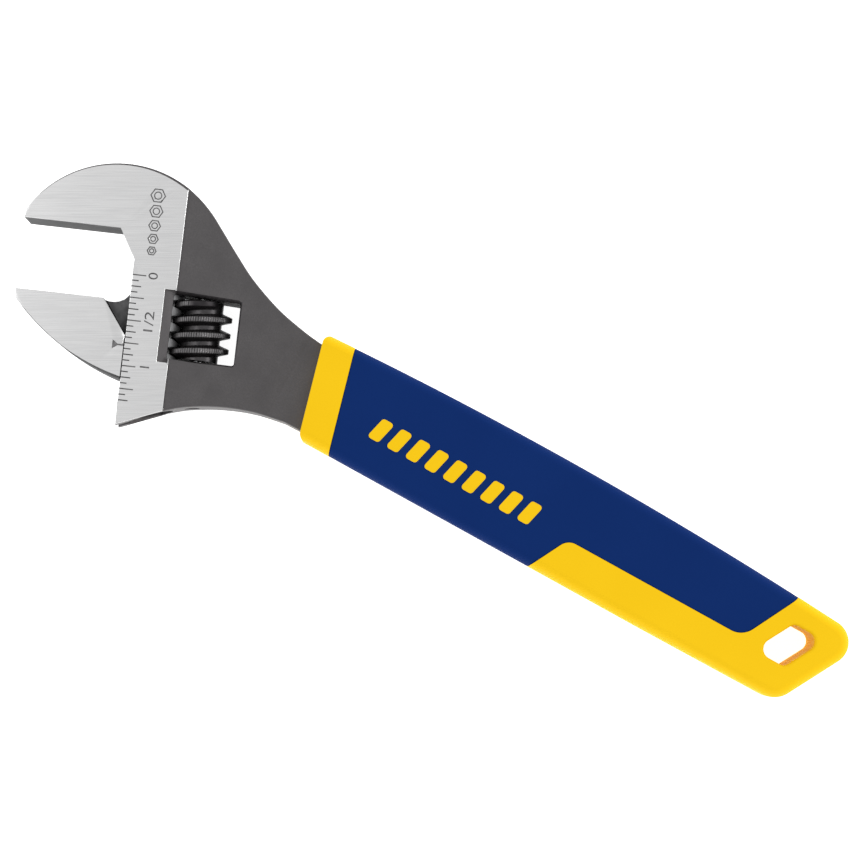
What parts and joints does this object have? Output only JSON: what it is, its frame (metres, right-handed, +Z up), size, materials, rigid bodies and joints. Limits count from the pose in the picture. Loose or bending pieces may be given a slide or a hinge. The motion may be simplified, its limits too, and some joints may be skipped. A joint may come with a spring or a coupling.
{
  "type": "adjustable wrench",
  "caption": "Adjustable wrench with jaws offset 22.5 degrees, a worm-driven sliding jaw with a rack, a hanging hole and a two-colour moulded grip.",
  "frame": {"origin": "middle of the underside of the whole tool's box, lying flat", "axes": "+X along the handle from the jaws to the hanging hole, +Y to the fixed jaw's side, +Z up through the thickness"},
  "size_m": [0.2576, 0.0676, 0.0175],
  "materials": {
    "oxide_steel": "forged steel with a dark grey satin oxide; the flat head faces are ground bright",
    "ground_steel": "ground steel with fine straight brushing",
    "worm_steel": "dark oxide with worn, knurled crests",
    "spring_steel": "drawn wire",
    "blue_grip": "dark blue moulded elastomer, satin with a fine grain",
    "yellow_grip": "yellow moulded plastic, satin"
  },
  "bodies": {
    "frame": {"body": "oxide_steel", "worm_pin": "ground_steel", "grip_front_collar": "yellow_grip", "grip_sleeve": "blue_grip", "grip_rear_wrap": "yellow_grip", "grip_bar_front_1": "yellow_grip", "grip_bar_front_2": "yellow_grip", "grip_bar_front_3": "yellow_grip", "grip_bar_front_4": "yellow_grip", "grip_bar_front_5": "yellow_grip", "grip_bar_front_6": "yellow_grip", "grip_bar_front_7": "yellow_grip", "grip_bar_front_8": "yellow_grip", "grip_bar_front_9": "yellow_grip", "grip_bar_back_1": "yellow_grip", "grip_bar_back_2": "yellow_grip", "grip_bar_back_3": "yellow_grip", "grip_bar_back_4": "yellow_grip", "grip_bar_back_5": "yellow_grip", "grip_bar_back_6": "yellow_grip", "grip_bar_back_7": "yellow_grip", "grip_bar_back_8": "yellow_grip", "grip_bar_back_9": "yellow_grip"},
    "movable_jaw": {"movable_jaw": "ground_steel"},
    "worm": {"worm": "worm_steel", "worm_spring": "spring_steel"}
  },
  "joints": [
    {"name": "worm_spin", "type": "hinge", "parent": "frame", "child": "worm", "pos_m": [-0.07087, 0.00113, 0.00875], "axis": [-0.3827, 0.9239, 0], "range_deg": [-1616, 1063.8]},
    {"name": "jaw_slide", "type": "slide", "parent": "frame", "child": "movable_jaw", "axis": [0.3827, -0.9239, 0], "range_m": [-0.01975, 0.013]}
  ],
  "couplings": [
    {"joint": "worm_spin", "follows": "jaw_slide", "rad_per_m": 1428}
  ]
}
